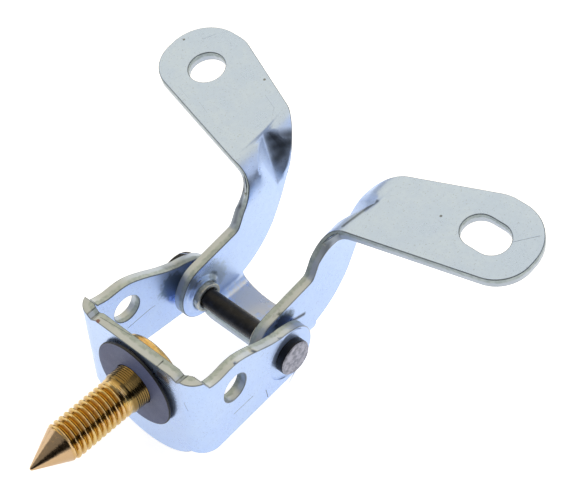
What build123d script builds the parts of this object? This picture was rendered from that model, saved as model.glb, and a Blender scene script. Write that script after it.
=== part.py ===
import os
from math import asin, cos, radians, sin, sqrt, tan

from build123d import *

os.makedirs("parts", exist_ok=True)

# Frame: X along the hinge pin, +Y from the stud towards the arms, +Z up.
# The origin lies on the stud axis at the inner end of the thread, wall_y in front of the clevis wall.
# Profiles are drawn in three views whose y runs from the outer face of that wall.
wall_y = 7.0
plan_view = Plane(origin=(0, wall_y, 0), x_dir=(1, 0, 0), z_dir=(0, 0, 1))
front_view = Plane(origin=(0, wall_y, 0), x_dir=(1, 0, 0), z_dir=(0, -1, 0))
side_view = Plane(origin=(0, wall_y, 0), x_dir=(0, 1, 0), z_dir=(1, 0, 0))

# Sheet, the same for both stampings
sheet = 2.9

# Clevis
clevis_half = 20.0
toe = 3.4
wall_top = 11.8
wall_arc_r = 20.6
ear_bottom = -13.4
bend_out = 5.2
bend_in = bend_out - sheet
ear_back = 42.0
ear_end_r = 7.8
ear_end_z = -5.6
gauge_y = 12.4
gauge_z = 1.5
gauge_r = 3.8

# Pin and bushes
pin_y = 31.3
pin_z = -5.2
pin_r = 2.5
seat_x = 17.85
seat_r = 6.9
dome_r = 6.6
dome_h = 3.3
rivet_r = 4.6
rivet_h = 2.3
bore_r = 2.55
bush_r = 3.85
bush_face = 8.57
bush_end = 14.85
boss_r = 5.4
boss_top_r = 4.5
boss_x = 9.93

# Arm bracket
arm_in = 10.8
arm_out = arm_in + sheet
arm_end_y = 31.8
arm_end_z = -5.2
arm_end_r = 7.1
floor_top = -11.4
floor_front = arm_end_y
floor_back = 45.3
floor_mid = 44.1
hollow_half = 9.3
floor_in = 2.2
floor_out = floor_in + sheet
fold_out = 8.2
fold_in = fold_out - sheet
tilt = radians(11.0)
hole_x = 44.2
hole_y = 69.6
hole_z = 22.7
hole_r = 4.8
slot_r = 4.55
slot_back = 0.3
slot_between = 3.6
paddle_end = 57.45
near_corner_r = 9.5
far_corner_r = 11.0
back_corner_r = 10.0

# Dart pressed across each fold, as (x, place along the fold line, height above the paddle) of its bottom line
dart_top = (18.1, -7.1, 0.0)
dart_foot = (arm_in, -12.5, -9.5)
dart_near_slope = radians(30)
dart_far_slope = radians(28)
dart_reach = 14.0

# Stud and washer
stud_r = 5.0
shank_r = 5.3
shank_end = 5.6
cone_half = radians(26.8)
tip_r = 0.5
stud_tip = 32.7
head_r = 9.5
head_t = 3.0
washer_r = 11.6
washer_t = 1.3

# Clevis: the plan is a U of bent sheet, cut to its outline from the front and from the side.
slope = tan(radians(toe))
skin = sheet / cos(radians(toe))
outer_back = clevis_half - slope * ear_back
inner_back = outer_back - skin
inner_front = clevis_half - skin - slope * sheet
with BuildPart() as clevis:
    with BuildSketch(plan_view.offset(-22)):
        Polygon(
            (-outer_back, ear_back), (-clevis_half, 0), (clevis_half, 0), (outer_back, ear_back),
            (inner_back, ear_back), (inner_front, sheet), (-inner_front, sheet), (-inner_back, ear_back),
            align=None,
        )
        fillet([v for v in vertices() if abs(v.Y) < 0.01], bend_out)
        fillet([v for v in vertices() if abs(v.Y - sheet) < 0.01], bend_in)
    extrude(amount=36)
    # front view: straight top with a shallow relief beside each bend, round lower lobe about the stud
    lobe_x = sqrt(wall_arc_r ** 2 - ear_bottom ** 2)
    with BuildSketch(front_view.offset(-60)):
        with BuildLine():
            Polyline(
                (lobe_x, ear_bottom), (24, ear_bottom), (24, wall_top),
                (15.0, wall_top), (13.8, wall_top - 0.9), (12.2, wall_top),
                (-12.2, wall_top), (-13.8, wall_top - 0.9), (-15.0, wall_top),
                (-24, wall_top), (-24, ear_bottom), (-lobe_x, ear_bottom),
            )
            ThreePointArc((-lobe_x, ear_bottom), (0, -wall_arc_r), (lobe_x, ear_bottom))
        make_face()
    extrude(amount=70, mode=Mode.INTERSECT)
    # side view: step down behind each bend, low hump, slope to the round pin end
    join = radians(19.3)
    join_y = pin_y + ear_end_r * sin(join)
    join_z = ear_end_z + ear_end_r * cos(join)
    with BuildSketch(side_view.offset(-30)):
        with BuildLine():
            Polyline((5.4, -24), (-2, -24), (-2, 13), (3.3, 13), (3.4, wall_top), (4.7, 9.4))
            Spline(
                (4.7, 9.4), (8.0, 8.85), (11.0, 9.1), (14.0, 9.0), (17.0, 8.1), (20.0, 6.8),
                (23.0, 5.3), (26.0, 4.0), (29.0, 3.05), (join_y, join_z),
                tangents=[(1.0, -0.3), (cos(join), -sin(join))],
            )
            ThreePointArc((join_y, join_z), (pin_y + ear_end_r, ear_end_z), (pin_y, ear_end_z - ear_end_r))
            Polyline((pin_y, ear_end_z - ear_end_r), (5.4, ear_bottom), (5.4, -24))
        make_face()
    extrude(amount=60, mode=Mode.INTERSECT)
    # gauge holes and pin holes through both ears
    with BuildSketch(side_view.offset(-30)):
        with Locations((gauge_y, gauge_z)):
            Circle(gauge_r)
        with Locations((pin_y, pin_z)):
            Circle(pin_r)
    extrude(amount=60, mode=Mode.SUBTRACT)
    # coined seats square to the pin under its two heads
    for side in (-1, 1):
        with BuildSketch(side_view.offset(side * seat_x)):
            with Locations((pin_y, pin_z)):
                Circle(seat_r)
        extrude(amount=side * 4, mode=Mode.SUBTRACT)
    # hole for the stud shank
    with BuildSketch(front_view.offset(-10)):
        Circle(shank_r)
    extrude(amount=20, mode=Mode.SUBTRACT)
clevis.part.label = "clevis"

# Arm bracket: one stamping, two plates square to the pin, a floor between them, a paddle folded out of each.
# The paddle frame: x along the pin, s along the fold line to the back, w up its normal.
along = Vector(0, cos(tilt), sin(tilt))
normal = Vector(0, -sin(tilt), cos(tilt))
hole_point = Vector(0, wall_y + hole_y, hole_z)


def paddle_point(x, s, w):
    return Vector(x, 0, 0) + hole_point + along * s + normal * w


# near and far end of the fold along its line at each angle of the bend
fold_steps = [
    (0.0, -24.6, -7.8), (22.5, -21.2, -5.4), (45.0, -18.9, -2.5), (67.5, -17.9, 0.5), (90.0, -17.4, 2.7),
]
near_top = side_view.to_local_coords(paddle_point(0, fold_steps[0][1], -fold_out))
far_top = side_view.to_local_coords(paddle_point(0, fold_steps[0][2], -fold_out))
fold_x = arm_in + fold_out
end_left = arm_end_y - arm_end_r
end_low = arm_end_z - arm_end_r
floor_bend_z = floor_top + floor_in

with BuildPart() as plate:
    with BuildSketch(side_view.offset(arm_in)):
        with BuildLine():
            Line((near_top.X, near_top.Y), (45.7, 7.4))
            Spline((45.7, 7.4), (44.9, 6.2), (43.4, 5.55), tangents=[(-0.45, -0.9), (-1.0, -0.18)])
            Line((43.4, 5.55), (32.6, 3.6))
            Spline(
                (32.6, 3.6), (28.2, 2.1), (25.4, -1.6), (end_left, arm_end_z),
                tangents=[(-1.0, -0.18), (0.0, -1.0)],
            )
            ThreePointArc(
                (end_left, arm_end_z),
                (arm_end_y - arm_end_r * sqrt(0.5), arm_end_z - arm_end_r * sqrt(0.5)),
                (arm_end_y, end_low),
            )
            Polyline((arm_end_y, end_low), (arm_end_y, floor_bend_z), (floor_back, floor_bend_z))
            Spline(
                (floor_back, floor_bend_z), (47.8, -8.1), (50.2, -6.7), (52.7, -4.8), (54.8, -2.7),
                (56.7, -0.4), (58.4, 2.5), (59.9, 5.2), (61.7, 9.2), (far_top.X, far_top.Y),
            )
            Line((far_top.X, far_top.Y), (near_top.X, near_top.Y))
        make_face()
    extrude(amount=sheet)

with BuildPart() as fold:
    for angle, near, far in fold_steps:
        a = radians(angle)
        radial = Vector(-cos(a), 0, 0) + normal * sin(a)
        origin = paddle_point(fold_x, 0, -fold_out) + radial * fold_out
        with BuildSketch(Plane(origin=origin, x_dir=along, z_dir=along.cross(radial))):
            Polygon((near, 0), (far, 0), (far, -sheet), (near, -sheet), align=None)
    loft()

with BuildPart() as paddle:
    with BuildSketch(Plane(origin=hole_point, x_dir=(1, 0, 0), z_dir=normal)):
        Polygon(
            (fold_x, -17.4), (paddle_end, -7.8), (paddle_end, 12.2), (42.0, 12.2), (fold_x, 2.7),
            align=None,
        )
        fillet([v for v in vertices() if v.X > 50 and v.Y < -5], near_corner_r)
        fillet([v for v in vertices() if v.X > 50 and v.Y > 10], far_corner_r)
        fillet([v for v in vertices() if 40 < v.X < 43 and v.Y > 10], back_corner_r)
    extrude(amount=-sheet)

# Dart: a shallow V along its bottom line, cut from the outside of the fold and raised on its inside.
dart_line = (paddle_point(*dart_foot) - paddle_point(*dart_top)).normalized()
dart_middle = (paddle_point(*dart_foot) + paddle_point(*dart_top)) * 0.5
outward = Vector(-1, 0, 0) + normal
outward = (outward - dart_line * outward.dot(dart_line)).normalized()
dart_view = Plane(origin=dart_middle, x_dir=dart_line.cross(outward), z_dir=-dart_line)


def dart_wedge(sunk):
    """The V between the two walls of the dart, sunk into the sheet by a depth."""
    with BuildPart() as wedge:
        with BuildSketch(dart_view):
            Polygon(
                (0, -sunk),
                (dart_reach * cos(dart_far_slope), dart_reach * sin(dart_far_slope) - sunk),
                (-dart_reach * cos(dart_near_slope), dart_reach * sin(dart_near_slope) - sunk),
                align=None,
            )
        extrude(amount=dart_reach, both=True)
    return wedge.part


def fold_edge(column, inset):
    """The plane through the near or far end of the fold, moved along the fold line by an inset."""
    corners = []
    for step in (fold_steps[0], fold_steps[2], fold_steps[4]):
        a = radians(step[0])
        corners.append(paddle_point(fold_x - fold_out * cos(a), step[column] + inset, fold_out * (sin(a) - 1)))
    first, second, third = corners
    return Plane(origin=first, x_dir=second - first, z_dir=(second - first).cross(third - first))


leg = 14.0
ridge_skin = 1.0
ridge_bend = fold_out - ridge_skin
with BuildPart() as dart_ridge:
    with BuildSketch(Plane(origin=paddle_point(0, -28, 0), x_dir=(1, 0, 0), z_dir=-along)):
        with BuildLine():
            Polyline(
                (fold_x, -ridge_skin), (arm_in + leg, -ridge_skin), (arm_in + leg, -leg),
                (arm_in + ridge_skin, -leg), (arm_in + ridge_skin, -fold_out),
            )
            ThreePointArc(
                (arm_in + ridge_skin, -fold_out),
                (fold_x - ridge_bend * sqrt(0.5), -fold_out + ridge_bend * sqrt(0.5)),
                (fold_x, -ridge_skin),
            )
        make_face()
    extrude(amount=-34)
    add(dart_wedge(sheet / cos(dart_far_slope)), mode=Mode.INTERSECT)
    split(bisect_by=fold_edge(1, 0.3), keep=Keep.TOP)
    split(bisect_by=fold_edge(2, -0.3), keep=Keep.BOTTOM)

pin_line = Axis((0, wall_y + pin_y, pin_z), (1, 0, 0))
with BuildPart() as arm_bracket:
    add(plate.part)
    add(fold.part)
    add(paddle.part)
    add(dart_ridge.part)
    add(dart_wedge(0), mode=Mode.SUBTRACT)
    mirror(about=Plane.YZ)
    # floor between the plates with its two bends
    with BuildSketch(front_view.offset(-floor_front)):
        low = floor_top - sheet
        lap_z = floor_bend_z + 1.0
        with BuildLine():
            Polyline(
                (arm_out, lap_z), (arm_out, low), (-arm_out, low), (-arm_out, lap_z),
                (-arm_in, lap_z), (-arm_in, floor_top), (arm_in, floor_top), (arm_in, lap_z),
                close=True,
            )
        make_face()
        fillet([v for v in vertices() if abs(v.Y - low) < 0.01], floor_out)
        fillet([v for v in vertices() if abs(v.Y - floor_top) < 0.01], floor_in)
    extrude(amount=-(floor_back - floor_front))
    # low boss round each pin bore on the inner faces
    for side in (-1, 1):
        across = Plane(origin=pin_line.position, x_dir=(0, 1, 0), z_dir=(side, 0, 0))
        with BuildSketch(across.offset(boss_x)):
            Circle(boss_top_r)
        with BuildSketch(across.offset(arm_in)):
            Circle(boss_r)
        loft()
    # hollow back edge of the floor
    with BuildSketch(plan_view.offset(-20)):
        with BuildLine():
            ThreePointArc((-hollow_half, floor_back), (0, floor_mid), (hollow_half, floor_back))
            Line((-hollow_half, floor_back), (hollow_half, floor_back))
        make_face()
    extrude(amount=12, mode=Mode.SUBTRACT)
    # bores for the bushes
    with BuildSketch(side_view.offset(-20)):
        with Locations((pin_y, pin_z)):
            Circle(bush_r)
    extrude(amount=40, mode=Mode.SUBTRACT)
    # round hole at -X, slot at +X
    with BuildSketch(Plane(origin=hole_point, x_dir=(1, 0, 0), z_dir=normal).offset(-10)):
        with Locations((-hole_x, 0)):
            Circle(hole_r)
        with Locations((hole_x, slot_back)):
            SlotCenterToCenter(slot_between, 2 * slot_r)
    extrude(amount=20, mode=Mode.SUBTRACT)
arm_bracket.part.label = "arm_bracket"

# Plain bushes pressed through the plates, proud of the boss inside and of the plate outside
bushes = {}
for name, side in (("bush_left", -1), ("bush_right", 1)):
    across = Plane(origin=pin_line.position, x_dir=(0, 1, 0), z_dir=(side, 0, 0))
    with BuildPart() as bush:
        with BuildSketch(across.offset(bush_face)):
            Circle(bush_r)
            Circle(bore_r, mode=Mode.SUBTRACT)
        extrude(amount=bush_end - bush_face)
        mouth = bush.edges().filter_by(GeomType.CIRCLE).filter_by_position(
            Axis.X, side * bush_face - 0.01, side * bush_face + 0.01
        )
        chamfer(mouth.sort_by(SortBy.RADIUS)[0], 0.5)
        chamfer(mouth.sort_by(SortBy.RADIUS)[-1], 0.2)
    bush.part.label = name
    bushes[name] = bush.part

# Pin: dome head at -X, riveted flat head at +X
with BuildPart() as hinge_pin:
    rim_x = -seat_x - 0.5
    top_x = -seat_x - dome_h
    end_x = seat_x + rivet_h
    ball_r = (dome_r ** 2 + (rim_x - top_x) ** 2) / (2 * (rim_x - top_x))
    mid = asin(dome_r / ball_r) / 2
    with BuildSketch(plan_view.offset(pin_z)):
        with BuildLine():
            Polyline(
                (top_x, pin_y), (end_x, pin_y), (end_x, pin_y + rivet_r - 0.25), (end_x - 0.25, pin_y + rivet_r),
                (seat_x, pin_y + rivet_r), (seat_x, pin_y + pin_r), (-seat_x, pin_y + pin_r),
                (-seat_x, pin_y + dome_r), (rim_x, pin_y + dome_r),
            )
            ThreePointArc(
                (rim_x, pin_y + dome_r),
                (top_x + ball_r * (1 - cos(mid)), pin_y + ball_r * sin(mid)),
                (top_x, pin_y),
            )
        make_face()
    revolve(axis=pin_line)
hinge_pin.part.label = "hinge_pin"

# Stud: cone point, plain core for the thread, shank through the wall, flat round head inside
with BuildPart() as stud:
    with BuildSketch(plan_view):
        with BuildLine():
            apex = stud_tip + tip_r * (1 / sin(cone_half) - 1)
            cone_base = apex - stud_r / tan(cone_half)
            ball_y = -stud_tip + tip_r
            head_y = sheet + head_t
            groove_r = stud_r - 0.6
            Polyline(
                (0, head_y), (head_r - 0.6, head_y), (head_r, head_y - 0.6), (head_r, sheet), (shank_r, sheet),
                (shank_r, -shank_end + 0.4), (shank_r - 0.4, -shank_end), (groove_r, -shank_end),
                (groove_r, -shank_end - 0.8), (stud_r, -wall_y), (stud_r, -cone_base),
                (tip_r * cos(cone_half), ball_y - tip_r * sin(cone_half)),
            )
            half_way = (radians(90) + cone_half) / 2
            ThreePointArc(
                (tip_r * cos(cone_half), ball_y - tip_r * sin(cone_half)),
                (tip_r * cos(half_way), ball_y - tip_r * sin(half_way)),
                (0, -stud_tip),
            )
            Line((0, -stud_tip), (0, head_y))
        make_face()
    revolve(axis=Axis((0, 0, 0), (0, 1, 0)))
stud.part.label = "stud"

# Seal washer on the shank against the wall
with BuildPart() as seal_washer:
    with BuildSketch(front_view):
        Circle(washer_r)
        Circle(shank_r + 0.15, mode=Mode.SUBTRACT)
    extrude(amount=washer_t)
    front = seal_washer.faces().sort_by(Axis.Y)[0]
    rim = [e for e in front.edges() if abs(e.radius - washer_r) < 0.01]
    chamfer(rim, 0.3)
seal_washer.part.label = "seal_washer"

export_step(clevis.part, "parts/clevis.step")
export_step(arm_bracket.part, "parts/arm_bracket.step")
export_step(bushes["bush_left"], "parts/bush_left.step")
export_step(bushes["bush_right"], "parts/bush_right.step")
export_step(hinge_pin.part, "parts/hinge_pin.step")
export_step(stud.part, "parts/stud.step")
export_step(seal_washer.part, "parts/seal_washer.step")
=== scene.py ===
import math

import bmesh
import bpy
from mathutils import Matrix, Vector
from mathutils.bvhtree import BVHTree


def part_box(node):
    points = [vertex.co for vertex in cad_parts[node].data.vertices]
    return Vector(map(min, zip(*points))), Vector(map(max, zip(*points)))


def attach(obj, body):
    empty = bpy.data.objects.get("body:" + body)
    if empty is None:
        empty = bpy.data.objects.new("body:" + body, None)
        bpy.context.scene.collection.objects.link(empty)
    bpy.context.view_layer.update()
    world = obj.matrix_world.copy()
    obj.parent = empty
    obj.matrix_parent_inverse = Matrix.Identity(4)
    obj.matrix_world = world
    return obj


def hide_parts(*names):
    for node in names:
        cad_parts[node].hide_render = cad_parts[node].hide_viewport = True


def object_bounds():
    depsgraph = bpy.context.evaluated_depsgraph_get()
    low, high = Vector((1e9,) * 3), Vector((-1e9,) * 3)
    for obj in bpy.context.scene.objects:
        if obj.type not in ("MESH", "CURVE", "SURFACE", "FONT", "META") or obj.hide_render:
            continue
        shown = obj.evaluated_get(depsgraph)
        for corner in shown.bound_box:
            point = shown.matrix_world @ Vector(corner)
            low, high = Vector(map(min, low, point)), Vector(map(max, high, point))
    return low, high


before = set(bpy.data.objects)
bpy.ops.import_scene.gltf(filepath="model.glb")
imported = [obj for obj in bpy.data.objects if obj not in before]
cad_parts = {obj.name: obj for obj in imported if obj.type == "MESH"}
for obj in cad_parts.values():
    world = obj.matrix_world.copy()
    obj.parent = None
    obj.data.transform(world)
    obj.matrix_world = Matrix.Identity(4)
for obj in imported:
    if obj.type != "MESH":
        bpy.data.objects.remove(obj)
cad_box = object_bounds()
mm = 0.001


# Camera
# A long lens looks down on the hinge from the front right, so that the stud points at the lower left.
# The eye's place and its two directions are in the hinge's own frame.
photo_width = 575
photo_height = 500
lens_length = 103.99
sensor_width = 36.0
near_limit = 0.01
eye = Vector((193.48, -131.55, 298.87)) * mm
eye_right = Vector((0.73205, 0.67981, -0.04428)).normalized()
eye_forward = Vector((-0.48186, 0.47075, -0.73905)).normalized()
eye_up = eye_right.cross(eye_forward)
eye_axes = Matrix((eye_right, eye_up, -eye_forward)).transposed()
focal_pixels = lens_length / sensor_width * photo_width

camera = bpy.data.objects.new("camera", bpy.data.cameras.new("camera"))
camera.data.lens = lens_length
camera.data.sensor_width = sensor_width
camera.data.sensor_fit = "HORIZONTAL"
camera.data.clip_start = near_limit
camera.matrix_world = Matrix.Translation(eye) @ eye_axes.to_4x4()
bpy.context.collection.objects.link(camera)
bpy.context.scene.camera = camera
bpy.context.scene.view_settings.view_transform = "Standard"


# Table and lights
# The hinge stands on a white table under five soft lamps: a yellow one above, two warm ones behind
# and a cool one at each side. The table glows only to the camera and in reflections. A dark screen
# on the viewer's side is seen only in reflections, and stands for a dim room.
def srgb(red, green, blue):
    """A colour of three numbers up to 255, as the shaders take it."""
    parts = [value / 255 for value in (red, green, blue)]
    linear = [part / 12.92 if part <= 0.04045 else ((part + 0.055) / 1.055) ** 2.4 for part in parts]
    return (*linear, 1.0)


def node(tree, kind, inputs=None, **settings):
    """A new node. Each input is a value for the socket, or another node's output to join to it."""
    made = tree.nodes.new(kind)
    for name, value in settings.items():
        setattr(made, name, value)
    for socket, value in (inputs or {}).items():
        if isinstance(value, bpy.types.NodeSocket):
            tree.links.new(value, made.inputs[socket])
        else:
            made.inputs[socket].default_value = value
    return made


def math_node(tree, operation, first, second=0.0, clamp=False):
    """The result of one sum on two values or sockets."""
    made = node(tree, "ShaderNodeMath", {0: first, 1: second}, operation=operation, use_clamp=clamp)
    return made.outputs[0]


def new_material(name):
    """A new material and its node tree."""
    material = bpy.data.materials.new(name)
    material.use_nodes = True
    return material, material.node_tree


def link_object(name, content):
    """A new object that shows a mesh or holds a lamp, at the origin."""
    made = bpy.data.objects.new(name, content)
    bpy.context.collection.objects.link(made)
    return made


table_half = 3.0
table_gap = 0.2 * mm
table_glow = 0.70
table_form = bmesh.new()
bmesh.ops.create_grid(table_form, x_segments=1, y_segments=1, size=table_half)
bmesh.ops.translate(table_form, verts=table_form.verts, vec=(0, 0, cad_box[0].z - table_gap))
table_mesh = bpy.data.meshes.new("table")
table_form.to_mesh(table_mesh)
table_form.free()
table = link_object("table", table_mesh)

table_white, tree = new_material("table_white")
tree.nodes.clear()
seen = node(tree, "ShaderNodeLightPath").outputs
paper = node(tree, "ShaderNodeBsdfDiffuse", {"Color": srgb(236, 236, 236)}).outputs[0]
glow = node(tree, "ShaderNodeEmission", {"Color": (1, 1, 1, 1), "Strength": table_glow}).outputs[0]
lit = node(tree, "ShaderNodeAddShader", {0: paper, 1: glow}).outputs[0]
direct = math_node(tree, "MAXIMUM", seen["Is Camera Ray"], seen["Is Glossy Ray"])
finish = node(tree, "ShaderNodeMixShader", {"Fac": direct, 1: paper, 2: lit}).outputs[0]
node(tree, "ShaderNodeOutputMaterial", {"Surface": finish})
table_mesh.materials.append(table_white)

room_light = 0.38
world = bpy.data.worlds.new("studio")
world.use_nodes = True
world.node_tree.nodes["Background"].inputs["Color"].default_value = (0.95, 0.97, 1.0, 1.0)
world.node_tree.nodes["Background"].inputs["Strength"].default_value = room_light
bpy.context.scene.world = world

middle = (cad_box[0] + cad_box[1]) / 2


def softbox(name, direction, distance, size, colour, brightness):
    """A square lamp that looks at the hinge's middle from a direction, as far away as distance.

    Its energy grows with its area, so that a brightness looks the same on a lamp of any size.
    """
    lamp = bpy.data.lights.new(name, "AREA")
    lamp.shape = "SQUARE"
    lamp.size = size
    lamp.color = colour
    lamp.energy = brightness * math.pi * size * size
    place = middle + Vector(direction).normalized() * distance
    turn = (middle - place).to_track_quat("-Z", "Y").to_matrix().to_4x4()
    link_object(name, lamp).matrix_world = Matrix.Translation(place) @ turn


softbox("lamp_above", (-0.52, 0.28, 0.81), 1.1, 1.5, (1.0, 0.79, 0.38), 0.80)
softbox("lamp_back", (-0.42, 0.85, 0.30), 1.2, 0.8, (1.0, 0.95, 0.85), 1.1)
softbox("lamp_top", (0.45, 0.40, 0.80), 1.1, 1.0, (1.0, 0.95, 0.9), 0.55)
softbox("lamp_left", (-0.90, -0.40, 0.30), 1.2, 0.7, (0.95, 0.97, 1.0), 1.1)
softbox("lamp_right", (0.80, 0.75, 0.35), 1.4, 0.6, (0.97, 0.98, 1.0), 0.8)

screen_start = -85
screen_sweep = 110
screen_steps = 12
screen_lift = 0.15
start_height = 1.05
end_height = 0.55
screen_form = bmesh.new()
columns = []
for step in range(screen_steps + 1):
    share = step / screen_steps
    bearing = math.radians(screen_start + screen_sweep * share)
    height = start_height * (1 - share) + end_height * share
    foot = middle + Vector((math.cos(bearing), math.sin(bearing), screen_lift))
    columns.append([screen_form.verts.new(foot), screen_form.verts.new(foot + Vector((0, 0, height)))])
for first, second in zip(columns, columns[1:]):
    screen_form.faces.new((first[0], second[0], second[1], first[1]))
screen_mesh = bpy.data.meshes.new("screen")
screen_form.to_mesh(screen_mesh)
screen_form.free()
screen = link_object("screen", screen_mesh)
screen.visible_camera = False
screen.visible_diffuse = False
screen.visible_shadow = False
screen_black, tree = new_material("screen_black")
tree.nodes["Principled BSDF"].inputs["Base Color"].default_value = srgb(16, 17, 20)
tree.nodes["Principled BSDF"].inputs["Roughness"].default_value = 0.9
screen_mesh.materials.append(screen_black)


# Clevis
# A cup pressed from 2.9 mm steel strip, with two ears that lean together and a gauge hole in each.
# Blanked, bent and zinc plated with a pale blue passivation, so faces are bluish and cut edges duller.
edge_break = 0.2 * mm
weld = 0.002 * mm
flat_angle = math.radians(0.3)
crease_angle = math.radians(22)
sharp_angle = math.radians(32)
soft_angle = math.radians(62)
flat_weight = 60
no_box = ((0, 0, 0), (0, 0, 0))


def in_box(edge, box):
    """Whether the middle of an edge lies in a box given in mm, or in its mirror image across the hinge."""
    spot = (edge.verts[0].co + edge.verts[1].co) / 2 / mm
    spot.x = abs(spot.x)
    return all(low < value < high for low, value, high in zip(box[0], spot, box[1]))


def skins_of(form, borders):
    """The faces of a mesh in groups that no border edge crosses, the largest group first."""
    skins = []
    reached = set()
    for start in form.faces:
        if start in reached:
            continue
        reached.add(start)
        skin = [start]
        for face in skin:
            for edge in face.edges:
                if edge in borders:
                    continue
                fresh = [other for other in edge.link_faces if other not in reached]
                reached.update(fresh)
                skin.extend(fresh)
        skins.append(skin)
    return sorted(skins, key=lambda skin: -sum(face.calc_area() for face in skin))


def skin_surface(skin):
    """A group of faces as a tree that distances are measured to."""
    points = []
    polygons = []
    for face in skin:
        polygons.append(list(range(len(points), len(points) + len(face.verts))))
        points.extend(vertex.co.copy() for vertex in face.verts)
    return BVHTree.FromPolygons(points, polygons)


def gap_to(surface, point):
    """How far a point is from a surface."""
    return surface.find_nearest(point)[3]


def touches(face, wanted):
    """Whether a face shares an edge with one that is wanted."""
    return any(wanted(other) for edge in face.edges for other in edge.link_faces if other is not face)


def stamping(node_name, soft_box=no_box):
    """A copy of a pressed part's mesh with its sharp edges broken by a small round.

    Edges in the soft box are only shaded smooth, up to the soft angle. Faces get cut = 1 on sheared
    edges and hole walls, and rim = 1 on the rounds beside them. Points get depth, from 0 on one face
    of the sheet to 1 on the other.
    """
    form = bmesh.new()
    form.from_mesh(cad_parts[node_name].data)
    bmesh.ops.remove_doubles(form, verts=form.verts, dist=weld)
    bmesh.ops.dissolve_limit(
        form, angle_limit=flat_angle, verts=form.verts, edges=form.edges, delimit={"NORMAL"}
    )
    cut = form.faces.layers.float.new("cut")
    rim = form.faces.layers.float.new("rim")
    depth = form.verts.layers.float.new("depth")
    soft = {edge for edge in form.edges if edge.calc_face_angle(0) < soft_angle and in_box(edge, soft_box)}
    borders = {edge for edge in form.edges if edge.calc_face_angle(0) > sharp_angle}
    to_break = [edge for edge in form.edges if edge in borders and edge not in soft]
    # an edge that becomes a round is left smooth, so that the round shades into its two faces
    for edge in form.edges:
        edge.smooth = edge in soft or edge in borders or edge.calc_face_angle(0) <= crease_angle
    skins = skins_of(form, borders)
    sheet_faces = [skin_surface(skin) for skin in skins[:2]]
    for skin in skins[2:]:
        corners = [vertex.co for face in skin for vertex in face.verts]
        if all(min(gap_to(sheet_face, corner) for corner in corners) < weld for sheet_face in sheet_faces):
            for face in skin:
                face[cut] = 1.0
    rounds = bmesh.ops.bevel(
        form, geom=to_break, offset=edge_break, offset_type="OFFSET", segments=2, profile=0.5,
        affect="EDGES", clamp_overlap=False,
    )["faces"]
    beside_cut = {face for face in rounds if touches(face, lambda other: other[cut] == 1.0)}
    for face in rounds:
        if face in beside_cut or touches(face, lambda other: other in beside_cut):
            face[rim] = 1.0
    bmesh.ops.triangulate(form, faces=[face for face in form.faces if len(face.verts) > 4])
    bmesh.ops.dissolve_degenerate(form, dist=weld, edges=form.edges)
    for vertex in form.verts:
        gaps = [gap_to(sheet_face, vertex.co) for sheet_face in sheet_faces]
        vertex[depth] = gaps[0] / max(sum(gaps), weld)
    for face in form.faces:
        face.smooth = True
    mesh = bpy.data.meshes.new(node_name + "_plated")
    form.to_mesh(mesh)
    form.free()
    return mesh


def firm_shading(piece):
    """Keeps flat faces flat beside their rounded edges."""
    weigh = piece.modifiers.new("flat_faces", "WEIGHTED_NORMAL")
    weigh.keep_sharp = True
    weigh.weight = flat_weight


def seen_surface(mesh):
    """The mesh as a tree that rays can be cast on."""
    points = [vertex.co for vertex in mesh.vertices]
    return BVHTree.FromPolygons(points, [list(polygon.vertices) for polygon in mesh.polygons])


def seen_at(surface, pixel):
    """The point of a surface that the camera sees at a pixel of its picture."""
    across = (pixel[0] - photo_width / 2) / focal_pixels
    down = (pixel[1] - photo_height / 2) / focal_pixels
    ray = eye_forward + eye_right * across - eye_up * down
    hit = surface.ray_cast(eye, ray)[0]
    if hit is None:
        raise ValueError(f"the camera sees nothing at {pixel}")
    return hit


def shader_group(name, inputs, outputs):
    """An empty shader node group with its sockets, and the nodes that carry them inside it."""
    made = bpy.data.node_groups.new(name, "ShaderNodeTree")
    for socket, kind in inputs.items():
        made.interface.new_socket(name=socket, in_out="INPUT", socket_type="NodeSocket" + kind)
    for socket, kind in outputs.items():
        made.interface.new_socket(name=socket, in_out="OUTPUT", socket_type="NodeSocket" + kind)
    return made, node(made, "NodeGroupInput").outputs, node(made, "NodeGroupOutput").inputs


def vector_node(tree, operation, first, second=(0, 0, 0)):
    """The outputs of one sum on two vectors or sockets."""
    return node(tree, "ShaderNodeVectorMath", {0: first, 1: second}, operation=operation).outputs


def ramp(tree, value, low, high, start=0.0, end=1.0, kind="LINEAR"):
    """A number that goes from start to end as the value goes from low to high."""
    made = node(
        tree, "ShaderNodeMapRange",
        {"Value": value, "From Min": low, "From Max": high, "To Min": start, "To Max": end},
        interpolation_type=kind,
    )
    return made.outputs["Result"]


def clouds_group():
    """Soft patches of a given number per metre, from 0 to 1."""
    tree, given, result = shader_group(
        "clouds", {"Place": "Vector", "Per metre": "Float", "Low": "Float", "High": "Float"},
        {"Mask": "Float"},
    )
    noise = node(
        tree, "ShaderNodeTexNoise",
        {"Vector": given["Place"], "Scale": given["Per metre"], "Detail": 4.0, "Roughness": 0.6},
    ).outputs["Fac"]
    tree.links.new(ramp(tree, noise, given["Low"], given["High"], kind="SMOOTHSTEP"), result["Mask"])
    return tree


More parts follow.
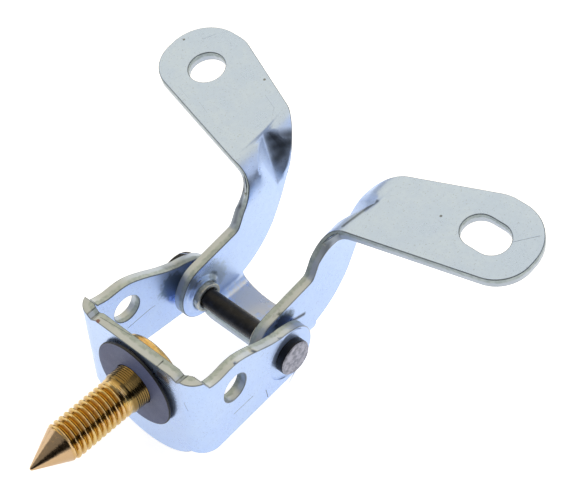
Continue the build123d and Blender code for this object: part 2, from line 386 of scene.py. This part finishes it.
def scratch_and_shade_line_group():
    """A line between two points, 1 in its middle and 0 beyond its half width: a scratch when thin, a band
    of painted shade when wide.
    """
    tree, given, result = shader_group(
        "scratch_and_shade_line", {"Place": "Vector", "Start": "Vector", "End": "Vector", "Half width": "Float"},
        {"Mask": "Float"},
    )
    along = vector_node(tree, "SUBTRACT", given["End"], given["Start"])["Vector"]
    offset = vector_node(tree, "SUBTRACT", given["Place"], given["Start"])["Vector"]
    reach = vector_node(tree, "DOT_PRODUCT", offset, along)["Value"]
    whole = vector_node(tree, "DOT_PRODUCT", along, along)["Value"]
    share = math_node(tree, "DIVIDE", reach, whole, clamp=True)
    foot = node(
        tree, "ShaderNodeVectorMath", {0: along, "Scale": share}, operation="SCALE"
    ).outputs["Vector"]
    gap = vector_node(tree, "DISTANCE", offset, foot)["Value"]
    fade = ramp(tree, gap, 0.0, given["Half width"], start=1.0, end=0.0, kind="SMOOTHSTEP")
    tree.links.new(fade, result["Mask"])
    return tree


def ragged_patch_group():
    """A ragged round patch, 1 inside its radius and 0 outside."""
    tree, given, result = shader_group(
        "ragged_patch", {"Place": "Vector", "Centre": "Vector", "Radius": "Float"}, {"Mask": "Float"}
    )
    ragged = node(
        tree, "ShaderNodeTexNoise", {"Vector": given["Place"], "Scale": 900.0, "Detail": 3.0}
    ).outputs["Fac"]
    gap = vector_node(tree, "DISTANCE", given["Place"], given["Centre"])["Value"]
    share = math_node(tree, "DIVIDE", gap, given["Radius"])
    ragged_share = math_node(tree, "ADD", share, math_node(tree, "MULTIPLY", ragged, 0.9))
    fade = ramp(tree, ragged_share, 1.1, 1.6, start=1.0, end=0.0, kind="SMOOTHSTEP")
    tree.links.new(fade, result["Mask"])
    return tree


clouds = clouds_group()
scratch_and_shade_line = scratch_and_shade_line_group()
ragged_patch = ragged_patch_group()


def masked(tree, group, **inputs):
    """The mask that a shader group gives. Each input has its socket's name, in small letters."""
    sockets = {name.replace("_", " ").capitalize(): value for name, value in inputs.items()}
    return node(tree, "ShaderNodeGroup", sockets, node_tree=group).outputs["Mask"]


def blended(tree, amount, first, second):
    """A colour between two, by a value or mask. A Mix node's sockets 6 and 7 and output 2 are colours."""
    return node(tree, "ShaderNodeMix", {0: amount, 6: first, 7: second}, data_type="RGBA").outputs[2]


def between(tree, amount, first, second):
    """A number between two, by a value or mask. A Mix node's sockets 2 and 3 and output 0 are numbers."""
    return node(tree, "ShaderNodeMix", {0: amount, 2: first, 3: second}, data_type="FLOAT").outputs[0]


def scaled(tree, value, factor):
    """A mask or another value, times a factor."""
    return math_node(tree, "MULTIPLY", value, factor)


def attribute(tree, name):
    """A number that the piece's own mesh carries."""
    return node(tree, "ShaderNodeAttribute", attribute_name=name).outputs["Fac"]


def own_place(tree):
    """Where a point is in its piece's own frame."""
    return node(tree, "ShaderNodeTexCoord").outputs["Object"]


def surface_finish(tree, colour, metallic, roughness, height, relief, strength):
    """Joins a colour, a roughness and a height to the material's shader, with the relief in mm."""
    shader = tree.nodes["Principled BSDF"]
    shader.inputs["Metallic"].default_value = metallic
    tree.links.new(colour, shader.inputs["Base Color"])
    tree.links.new(roughness, shader.inputs["Roughness"])
    bump = node(tree, "ShaderNodeBump", {"Height": height, "Distance": relief * mm, "Strength": strength})
    tree.links.new(bump.outputs["Normal"], shader.inputs["Normal"])


def plated_steel(name, surface, scores_and_shades, stains_and_painted_light):
    """Blue passivated zinc on a stamping, with its handling marks and painted light and shade.

    A score is two pixels of the picture, a half width in mm and how dark it is: a thin one is a scratch,
    and a wide one is a soft band of painted shade. A stain is a pixel, a radius in mm, a colour and how
    strong it is; some are real stains and spots, others painted shade, highlight or reflection. The pixels
    are carried over to the surface through the camera.
    """
    material, tree = new_material(name)
    place = own_place(tree)
    cut = attribute(tree, "cut")
    rim = attribute(tree, "rim")
    depth = attribute(tree, "depth")
    broad = masked(tree, clouds, place=place, per_metre=110.0, low=0.35, high=0.68)
    fine = masked(tree, clouds, place=place, per_metre=900.0, low=0.40, high=0.62)
    speck = masked(tree, clouds, place=place, per_metre=2600.0, low=0.60, high=0.68)
    # faces of the sheet, bluish with small dark specks
    face = blended(tree, broad, srgb(189, 212, 254), srgb(198, 219, 254))
    face = blended(tree, scaled(tree, fine, 0.3), face, srgb(183, 205, 248))
    face = blended(tree, scaled(tree, speck, 0.45), face, srgb(130, 142, 170))
    # cut edges, shorn by the punch for half their depth and torn beyond a wavy line
    torn = ramp(tree, math_node(tree, "ADD", depth, scaled(tree, fine, 0.08)), 0.50, 0.66)
    shorn = blended(tree, broad, srgb(188, 197, 209), srgb(176, 186, 198))
    ripped = blended(tree, fine, srgb(181, 192, 194), srgb(165, 177, 180))
    colour = blended(tree, cut, face, blended(tree, torn, shorn, ripped))
    # rounds beside the cut edges, painted dark as the shade lines that fall along the edges, darker on the
    # burr's side
    burr = ramp(tree, depth, 0.4, 0.6)
    rim_shade_colour = blended(tree, burr, srgb(132, 138, 144), srgb(88, 94, 100))
    colour = blended(tree, scaled(tree, rim, 0.75), colour, rim_shade_colour)
    # handling marks, and painted shade where a score is wide or a stain stands for shade, highlight or
    # reflection
    sunk_lines = 0.0
    for start, end, half_width, dark in scores_and_shades:
        mask = masked(
            tree, scratch_and_shade_line, place=place, start=seen_at(surface, start), end=seen_at(surface, end),
            half_width=half_width * mm,
        )
        colour = blended(tree, scaled(tree, mask, dark), colour, srgb(54, 60, 68))
        sunk_lines = math_node(tree, "MAXIMUM", sunk_lines, mask)
    for centre, radius, tone, strength in stains_and_painted_light:
        mask = masked(tree, ragged_patch, place=place, centre=seen_at(surface, centre), radius=radius * mm)
        colour = blended(tree, scaled(tree, mask, strength), colour, tone)
    # plating smooth on the faces, duller and grainy where the sheet tore
    smooth = math_node(tree, "ADD", 0.27, scaled(tree, broad, 0.12))
    dull = math_node(tree, "ADD", 0.42, scaled(tree, torn, 0.16))
    roughness = between(tree, cut, smooth, dull)
    grain = node(
        tree, "ShaderNodeTexNoise", {"Vector": place, "Scale": 2200.0, "Detail": 3.0}
    ).outputs["Fac"]
    torn_grain = math_node(tree, "MULTIPLY", math_node(tree, "MULTIPLY", fine, torn), cut)
    height = math_node(tree, "ADD", scaled(tree, grain, 0.25), torn_grain)
    height = math_node(tree, "SUBTRACT", height, sunk_lines)
    surface_finish(tree, colour, 0.82, roughness, height, relief=0.05, strength=0.5)
    return material


clevis_scratches = [
    ((128, 328), (150, 309), 0.18, 0.8),
    ((150, 309), (155, 305.5), 0.14, 0.7),
    ((234, 414), (253, 396), 0.16, 0.8),
    ((184, 403), (188, 411), 0.14, 0.6),
    ((266, 390), (268, 397), 0.22, 0.8),
    ((98, 315), (93, 320), 0.12, 0.6),
    ((157, 367), (163, 361), 0.30, 0.95),
    ((100, 317), (132, 336), 0.14, 0.6),
]
shade_by_head = [((166, 268), (196, 258), 1.6, 0.4)]
clevis_stains_and_painted_light = [
    ((98, 321), 0.55, srgb(120, 70, 52), 0.8),
    # painted shade: the dark teal of the gap between the left ear and the arm
    ((173, 285), 4.4, srgb(30, 72, 86), 0.6),
    # painted reflection: the brown and golden glow of the stud's collar on the wall beside the seal
    ((160, 375), 1.2, srgb(120, 98, 84), 0.6),
    ((166, 380), 1.2, srgb(164, 142, 104), 0.6),
]
clevis_mesh = stamping("clevis")
clevis = link_object("clevis_plated", clevis_mesh)
clevis_zinc = plated_steel(
    "clevis_zinc", seen_surface(clevis_mesh), clevis_scratches + shade_by_head, clevis_stains_and_painted_light
)
clevis_mesh.materials.append(clevis_zinc)
firm_shading(clevis)
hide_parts("clevis")
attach(clevis, "clevis_side")


# Arm bracket
# One stamping, plated like the clevis: two side plates joined by a floor behind the pin, each folded
# outwards into a paddle with a dart pressed across the fold. The left paddle has a round bolt hole
# and the right one a slot, so that the gate can be set square.
arm_scratches = [
    ((513, 242), (540, 236), 0.12, 0.55),
    ((265, 95), (274, 108), 0.08, 0.35),
    ((274, 108), (269, 129), 0.08, 0.35),
    ((200, 103), (207, 113), 0.08, 0.3),
    ((203, 39), (216, 34), 0.08, 0.3),
    ((178, 86), (188, 98), 0.07, 0.25),
]
shade_in_gap = [((280, 328), (304, 314), 0.95, 0.97)]
shade_in_right_dart = [((377, 201), (343, 226), 0.80, 0.75)]
shade_in_left_dart = [
    ((270, 138), (290, 134), 2.4, 0.85),
    ((275, 147), (289, 143), 2.6, 0.85),
    ((277, 158), (282, 153), 2.0, 0.7),
]
shade_on_left_edge = [
    ((243.5, 178), (243.5, 190), 1.0, 0.6),
    ((243.5, 190), (240, 206), 1.0, 0.6),
    ((240, 206), (235, 222), 1.0, 0.55),
]
arm_scratches_and_shades = arm_scratches + shade_in_gap + shade_in_right_dart + shade_in_left_dart + shade_on_left_edge
arm_stains_and_painted_light = [
    # painted shade in the gap between the right arm and the right ear
    ((284, 322), 3.6, srgb(52, 66, 72), 0.85),
    # painted highlight: a pale warm patch along the bend of the floor
    ((256, 298), 6.5, srgb(226, 216, 190), 0.6),
    # painted reflection: a dull grey-green tone on the left arm's inner face by the pin
    ((214, 280), 5.5, srgb(142, 156, 160), 0.5),
    # painted shade that dims a lamp highlight on the boss
    ((213, 276), 1.6, srgb(96, 110, 122), 0.7),
    ((215, 277), 1.5, srgb(80, 92, 98), 0.5),
    ((193, 284), 1.7, srgb(84, 88, 98), 0.5),
    ((184, 39.5), 0.35, srgb(90, 90, 86), 0.8),
    ((264.5, 79.5), 0.35, srgb(100, 100, 96), 0.8),
    ((441, 216), 0.35, srgb(90, 92, 92), 0.8),
]
dart_box = ((8.4, 60.5, 10.0), (20.5, 77.0, 24.0))
arm_mesh = stamping("arm_bracket", dart_box)
arm = link_object("arm_bracket_plated", arm_mesh)
arm_mesh.materials.append(plated_steel("arm_zinc", seen_surface(arm_mesh), arm_scratches_and_shades, arm_stains_and_painted_light))
firm_shading(arm)
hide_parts("arm_bracket")
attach(arm, "arm_side")


# Bushes
# A plain steel sleeve is pressed into each plate of the arm bracket, and turns on the pin.
# Cut from tube, with its ends chamfered, and left bright.
turn_steps = 96
round_steps = 4
longest_corner = 0.45


def rounded(profile, closed):
    """The (along, radius) points of a turned profile, with each corner rounded by its own third number."""
    points = []
    for number, (along, radius, corner) in enumerate(profile):
        here = Vector((along, radius))
        is_end = not closed and number in (0, len(profile) - 1)
        if is_end or corner == 0:
            points.append(here)
            continue
        back = Vector(profile[number - 1][:2]) - here
        on = Vector(profile[(number + 1) % len(profile)][:2]) - here
        start = here + back.normalized() * min(corner, back.length * longest_corner)
        end = here + on.normalized() * min(corner, on.length * longest_corner)
        for step in range(round_steps + 1):
            share = step / round_steps
            points.append(start * (1 - share) ** 2 + here * 2 * share * (1 - share) + end * share ** 2)
    return points


def turned(name, profile, centre, axis, closed=False, part_of=None):
    """A lathe mesh round an axis through a centre, from a profile in mm. Ends on the axis close it.

    part_of(along, radius) gives the material number of the faces there.
    """
    form = bmesh.new()
    place = Matrix.Translation(centre) @ axis.to_track_quat("Z", "Y").to_matrix().to_4x4()
    outline = rounded(profile, closed)
    rings = []
    for point in outline:
        along, radius = point * mm
        steps = 1 if radius < weld else turn_steps
        ring = []
        for step in range(steps):
            angle = 2 * math.pi * step / steps
            spot = Vector((radius * math.cos(angle), radius * math.sin(angle), along))
            ring.append(form.verts.new(place @ spot))
        rings.append(ring)
    pairs = list(zip(range(len(rings)), range(1, len(rings))))
    if closed:
        pairs.append((len(rings) - 1, 0))
    for first, second in pairs:
        number = part_of(*((outline[first] + outline[second]) / 2)) if part_of else 0
        for step in range(turn_steps):
            around = ((first, step), (first, step + 1), (second, step + 1), (second, step))
            corners = [rings[level][column % len(rings[level])] for level, column in around]
            face = form.faces.new(list(dict.fromkeys(corners)))
            face.smooth = True
            face.material_index = number
    bmesh.ops.recalc_face_normals(form, faces=form.faces)
    mesh = bpy.data.meshes.new(name)
    form.to_mesh(mesh)
    form.free()
    return mesh


def bright_steel(name, light, dark, smoothest):
    """Bare turned steel, mottled in small patches."""
    material, tree = new_material(name)
    place = own_place(tree)
    patch = masked(tree, clouds, place=place, per_metre=700.0, low=0.35, high=0.65)
    fine = masked(tree, clouds, place=place, per_metre=2400.0, low=0.40, high=0.62)
    colour = blended(tree, patch, light, dark)
    roughness = math_node(tree, "ADD", smoothest, scaled(tree, fine, 0.15))
    height = math_node(tree, "ADD", patch, scaled(tree, fine, 0.4))
    surface_finish(tree, colour, 0.9, roughness, height, relief=0.04, strength=0.6)
    return material


pin_low, pin_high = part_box("hinge_pin")
pin_centre = Vector((0, (pin_low.y + pin_high.y) / 2, (pin_low.z + pin_high.z) / 2))
x_axis = Vector((1, 0, 0))
bush_bore = 2.55
inner_chamfer = 0.45
outer_chamfer = 0.15
sleeve_steel = bright_steel("sleeve_steel", srgb(206, 206, 196), srgb(176, 177, 166), 0.30)
for node_name in ("bush_left", "bush_right"):
    low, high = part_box(node_name)
    inner = min(abs(low.x), abs(high.x)) / mm
    outer = max(abs(low.x), abs(high.x)) / mm
    bush_radius = (high.z - low.z) / 2 / mm
    bush_profile = [
        (inner, bush_bore + inner_chamfer, 0.1), (inner, bush_radius, 0.25), (outer, bush_radius, 0.25),
        (outer, bush_bore + outer_chamfer, 0.1), (outer - outer_chamfer, bush_bore, 0.1),
        (inner + inner_chamfer, bush_bore, 0.2),
    ]
    side = x_axis if low.x > 0 else -x_axis
    bush_mesh = turned(node_name + "_turned", bush_profile, pin_centre, side, closed=True)
    bush_mesh.materials.append(sleeve_steel)
    bush = link_object(node_name + "_turned", bush_mesh)
    firm_shading(bush)
    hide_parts(node_name)
    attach(bush, "arm_side")


# Hinge pin
# A black steel rivet through both ears: a low domed head on the left, and on the right an end set
# over with a punch, which bares and mottles its steel.
pin_radius = 2.5
seat = 17.85
dome_radius = 6.6
dome_rim = 2.1
dome_top = pin_low.x / mm
dome_rise = -seat - dome_rim - dome_top
dome_ball = (dome_radius ** 2 + dome_rise ** 2) / (2 * dome_rise)
dome_angle = math.asin(dome_radius / dome_ball)
dome_steps = 10
dome_outline = []
for step in range(dome_steps):
    angle = dome_angle * step / dome_steps
    dome_outline.append((dome_top + dome_ball * (1 - math.cos(angle)), dome_ball * math.sin(angle), 0))
rivet_radius = 4.6
rivet_top = pin_high.x / mm
rivet_round = 0.35
rivet_lip = 1.1
lip_drop = 0.12
middle_drop = 0.1
bare_depth = 0.3
pin_profile = dome_outline + [
    (-seat - dome_rim, dome_radius, 0.3), (-seat, dome_radius, 0.2), (-seat, pin_radius, 0),
    (seat, pin_radius, 0), (seat, rivet_radius, 0.15), (rivet_top - rivet_round, rivet_radius, 0.2),
    (rivet_top, rivet_radius - rivet_round, 0.25), (rivet_top - lip_drop, rivet_radius - rivet_lip, 0.5),
    (rivet_top - middle_drop, 0, 0),
]


def black_oxide_material():
    """Black oxide on steel, slightly grey in patches."""
    material, tree = new_material("black_oxide")
    place = own_place(tree)
    patch = masked(tree, clouds, place=place, per_metre=500.0, low=0.4, high=0.7)
    fine = masked(tree, clouds, place=place, per_metre=2600.0, low=0.42, high=0.6)
    colour = blended(tree, patch, srgb(22, 24, 30), srgb(38, 40, 46))
    roughness = math_node(tree, "ADD", 0.34, scaled(tree, fine, 0.2))
    surface_finish(tree, colour, 0.5, roughness, fine, relief=0.03, strength=0.5)
    return material


def pin_finish(along, radius):
    """0 on the black pin, and 1 on its bare end."""
    return int(along > rivet_top - bare_depth)


pin_mesh = turned("hinge_pin_set", pin_profile, pin_centre, x_axis, part_of=pin_finish)
pin_mesh.materials.append(black_oxide_material())
pin_mesh.materials.append(bright_steel("bare_end", srgb(176, 176, 190), srgb(128, 130, 142), 0.38))
pin = link_object("hinge_pin_set", pin_mesh)
firm_shading(pin)
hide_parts("hinge_pin")
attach(pin, "clevis_side")


# Stud
# A coarse M10 screw with a flat round head inside the clevis and a long cone that finds the hole.
# Steel, its thread rolled, with a yellow zinc finish.
thread_radius = 5.0
thread_root = 4.2
core_radius = thread_root + 0.1
thread_length = 16.4
pitch = 1.5
shank_radius = 5.3
shank_front = 1.4
run_out_start = -0.8
run_out_end = 0.1
ring_pitch = 0.55
head_radius = 9.5
head_thick = 3.0
head_rim = 0.6
head_crown = 0.9
cone_radius = 4.75
stud_low, stud_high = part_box("stud")
head_top = stud_high.y / mm
head_bottom = head_top - head_thick
tip = stud_low.y / mm
stud_profile = [
    (tip, 0, 0), (tip + 0.12, 0.3, 0.1), (tip + 0.42, 0.52, 0.2), (-thread_length, cone_radius, 0.3),
    (-thread_length + 0.5, core_radius, 0.2), (run_out_start, core_radius, 0.2),
    (run_out_end, thread_radius - 0.1, 0.3), (shank_front - 0.1, thread_radius, 0.3),
    (shank_front + 0.5, shank_radius, 0.3), (head_bottom, shank_radius, 0),
    (head_bottom, head_radius, 0.3), (head_top - head_rim, head_radius, 0.5),
    (head_top, head_radius - head_crown, 0.6), (head_top, 0, 0),
]
origin = Vector((0, 0, 0))
y_axis = Vector((0, 1, 0))


def yellow_zinc_material():
    """Yellow passivated zinc in soft patches, paler on the point, with painted light: crests paler as lit,
    grooves deeper orange as light reflected between their flanks, and the collar brown as a dark
    reflection.
    """
    material, tree = new_material("yellow_zinc")
    place = own_place(tree)
    along = node(tree, "ShaderNodeSeparateXYZ", {"Vector": place}).outputs["Y"]
    across = vector_node(tree, "MULTIPLY", place, (1, 0, 1))["Vector"]
    radius = vector_node(tree, "LENGTH", across)["Value"]
    broad = masked(tree, clouds, place=place, per_metre=160.0, low=0.35, high=0.65)
    fine = masked(tree, clouds, place=place, per_metre=1100.0, low=0.4, high=0.62)
    # painted light and shade: crests paler as lit, grooves deeper orange as the light reflected between
    # their flanks
    raised = ramp(tree, radius, (thread_root + 0.15) * mm, (thread_radius - 0.15) * mm)
    crest = blended(tree, broad, srgb(206, 182, 124), srgb(206, 176, 134))
    groove = blended(tree, broad, srgb(172, 126, 36), srgb(158, 118, 48))
    colour = blended(tree, raised, groove, crest)
    colour = blended(tree, scaled(tree, fine, 0.4), colour, srgb(186, 146, 62))
    # painted reflection: the collar by the seal painted brown as a dark reflection
    behind = ramp(tree, along, 0.4 * mm, 1.4 * mm)
    on_shank = math_node(tree, "LESS_THAN", radius, (shank_radius + 0.5) * mm)
    collar = math_node(tree, "MULTIPLY", behind, on_shank)
    colour = blended(tree, collar, colour, srgb(126, 104, 62))
    point = ramp(tree, along, -thread_length * mm, (-thread_length - 0.6) * mm)
    colour = blended(tree, point, colour, srgb(192, 162, 126))
    roughness = math_node(tree, "ADD", 0.12, scaled(tree, fine, 0.08))
    rings = math_node(tree, "SINE", scaled(tree, along, 2 * math.pi / (ring_pitch * mm)))
    run_out = ramp(tree, along, -0.6 * mm, -0.2 * mm, end=1.5)
    height = math_node(tree, "ADD", fine, math_node(tree, "MULTIPLY", rings, run_out))
    surface_finish(tree, colour, 1.0, roughness, height, relief=0.02, strength=0.4)
    return material


yellow_zinc = yellow_zinc_material()
stud_mesh = turned("stud_turned", stud_profile, origin, y_axis)
stud_mesh.materials.append(yellow_zinc)
stud = link_object("stud_turned", stud_mesh)
firm_shading(stud)
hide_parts("stud")
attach(stud, "clevis_side")

steps_per_turn = 72
thread_crease = math.radians(35)

# The ridge runs on into the collar by the extra turns. Its section is a trapezoid centred on the
# root radius, so that only the outer half stands out. The two widths are in pitches.
extra_turns = 0.6
sunk_width = 1.76
crest_width = 0.14


def thread_tree(material):
    """Nodes that sweep a ridge along a helix about Z, fading at both ends."""
    tree = bpy.data.node_groups.new("thread_ridge", "GeometryNodeTree")
    sizes = {
        "Pitch": pitch * mm, "Turns": 1.0,
        "Root radius": thread_root * mm, "Crest radius": thread_radius * mm,
    }
    for name, value in sizes.items():
        socket = tree.interface.new_socket(name=name, in_out="INPUT", socket_type="NodeSocketFloat")
        socket.default_value = value
    tree.interface.new_socket(name="Geometry", in_out="OUTPUT", socket_type="NodeSocketGeometry")
    given = node(tree, "NodeGroupInput").outputs
    length = math_node(tree, "MULTIPLY", given["Pitch"], given["Turns"])
    helix = node(
        tree, "GeometryNodeCurveSpiral",
        {
            "Resolution": steps_per_turn, "Rotations": given["Turns"], "Height": length,
            "Start Radius": given["Root radius"], "End Radius": given["Root radius"],
        },
    ).outputs["Curve"]
    share = node(tree, "GeometryNodeSplineParameter").outputs["Factor"]
    rise = math_node(tree, "MULTIPLY", share, given["Turns"], clamp=True)
    left = math_node(tree, "SUBTRACT", 1.0, share)
    fall = math_node(tree, "MULTIPLY", left, given["Turns"], clamp=True)
    fade = math_node(tree, "MINIMUM", rise, fall)
    faded = node(tree, "GeometryNodeSetCurveRadius", {"Curve": helix, "Radius": fade}).outputs["Curve"]
    upright = node(tree, "GeometryNodeSetCurveNormal", {"Curve": faded}, mode="Z_UP").outputs["Curve"]
    ridge = math_node(tree, "SUBTRACT", given["Crest radius"], given["Root radius"])
    profile = node(
        tree, "GeometryNodeCurvePrimitiveQuadrilateral",
        {
            "Height": scaled(tree, ridge, 2.0), "Bottom Width": scaled(tree, given["Pitch"], sunk_width),
            "Top Width": scaled(tree, given["Pitch"], crest_width), "Offset": 0.0,
        },
        mode="TRAPEZOID",
    ).outputs["Curve"]
    outward = node(
        tree, "GeometryNodeTransform", {"Geometry": profile, "Rotation": (0, 0, math.radians(90))}
    ).outputs["Geometry"]
    swept = node(
        tree, "GeometryNodeCurveToMesh", {"Curve": upright, "Profile Curve": outward, "Fill Caps": True}
    ).outputs["Mesh"]
    real = node(tree, "GeometryNodeRealizeInstances", {"Geometry": swept}).outputs["Geometry"]
    finished = node(tree, "GeometryNodeSetMaterial", {"Geometry": real, "Material": material})
    node(tree, "NodeGroupOutput", {"Geometry": finished.outputs["Geometry"]})
    return tree


def grown(name, tree, values):
    """The plain mesh that a node tree makes with the values."""
    holder = link_object(name, bpy.data.meshes.new(name))
    modifier = holder.modifiers.new("nodes", "NODES")
    modifier.node_group = tree
    items = [item for item in tree.interface.items_tree if item.in_out == "INPUT"]
    sockets = {item.name: item.identifier for item in items}
    for socket, value in values.items():
        modifier[sockets[socket]] = value
    bpy.context.view_layer.update()
    evaluated = holder.evaluated_get(bpy.context.evaluated_depsgraph_get())
    mesh = bpy.data.meshes.new_from_object(evaluated)
    holder.modifiers.remove(modifier)
    bpy.data.objects.remove(holder)
    mesh.name = name
    return mesh


thread_turns = thread_length / pitch + extra_turns
thread_mesh = grown("stud_thread", thread_tree(yellow_zinc), {"Turns": thread_turns})
lay = Matrix.Translation((0, -thread_length * mm, 0)) @ Matrix.Rotation(math.radians(-90), 4, "X")
thread_mesh.transform(lay)
thread = link_object("stud_thread", thread_mesh)
for polygon in thread_mesh.polygons:
    polygon.use_smooth = True
thread_mesh.set_sharp_from_angle(angle=thread_crease)
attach(thread, "clevis_side")


# Seal washer
# A dark rubber ring on the stud's shank, squeezed between the clevis and the car's body.
# Punched from sheet, smooth, with a thin crisp lip round its outer edge.
seal_low, seal_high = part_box("seal_washer")
seal_radius = (seal_high.x - seal_low.x) / 2 / mm
seal_bore = shank_radius + 0.15
seal_front = seal_low.y / mm
seal_back = seal_high.y / mm
seal_lip = 0.65
lip_slope = 0.1
seal_foot = seal_radius - 1.3
seal_skin = 0.2
seal_profile = [
    (seal_front, seal_bore, 0.1), (seal_front, seal_radius, 0.2),
    (seal_front + seal_lip, seal_radius, 0.15), (seal_front + seal_lip + lip_slope, seal_foot, 0.1),
    (seal_back, seal_foot, 0.1), (seal_back, seal_bore, 0.1),
]


def rubber(name, light, dark):
    """Smooth rubber, between two tones in soft patches."""
    material, tree = new_material(name)
    place = own_place(tree)
    broad = masked(tree, clouds, place=place, per_metre=250.0, low=0.35, high=0.7)
    fine = masked(tree, clouds, place=place, per_metre=3000.0, low=0.42, high=0.6)
    colour = blended(tree, broad, light, dark)
    roughness = math_node(tree, "ADD", 0.48, scaled(tree, fine, 0.15))
    surface_finish(tree, colour, 0.0, roughness, fine, relief=0.02, strength=0.4)
    return material


def seal_in_painted_shade(along, radius):
    """0 on the front face, painted pale as lit, and 1 on the rest and the face's outer edge, painted black
    as in shade.
    """
    return int(radius > seal_radius - seal_skin or along > seal_front + seal_skin)


seal_mesh = turned("seal_ring", seal_profile, origin, y_axis, closed=True, part_of=seal_in_painted_shade)
# one dark rubber in two tones: the front face painted pale blue-grey as lit, the rest painted black as in
# shade
seal_mesh.materials.append(rubber("seal_rubber", srgb(100, 110, 152), srgb(110, 121, 162)))
seal_mesh.materials.append(rubber("seal_rubber_shaded", srgb(20, 22, 26), srgb(20, 22, 26)))
seal = link_object("seal_ring", seal_mesh)
firm_shading(seal)
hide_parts("seal_washer")
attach(seal, "clevis_side")
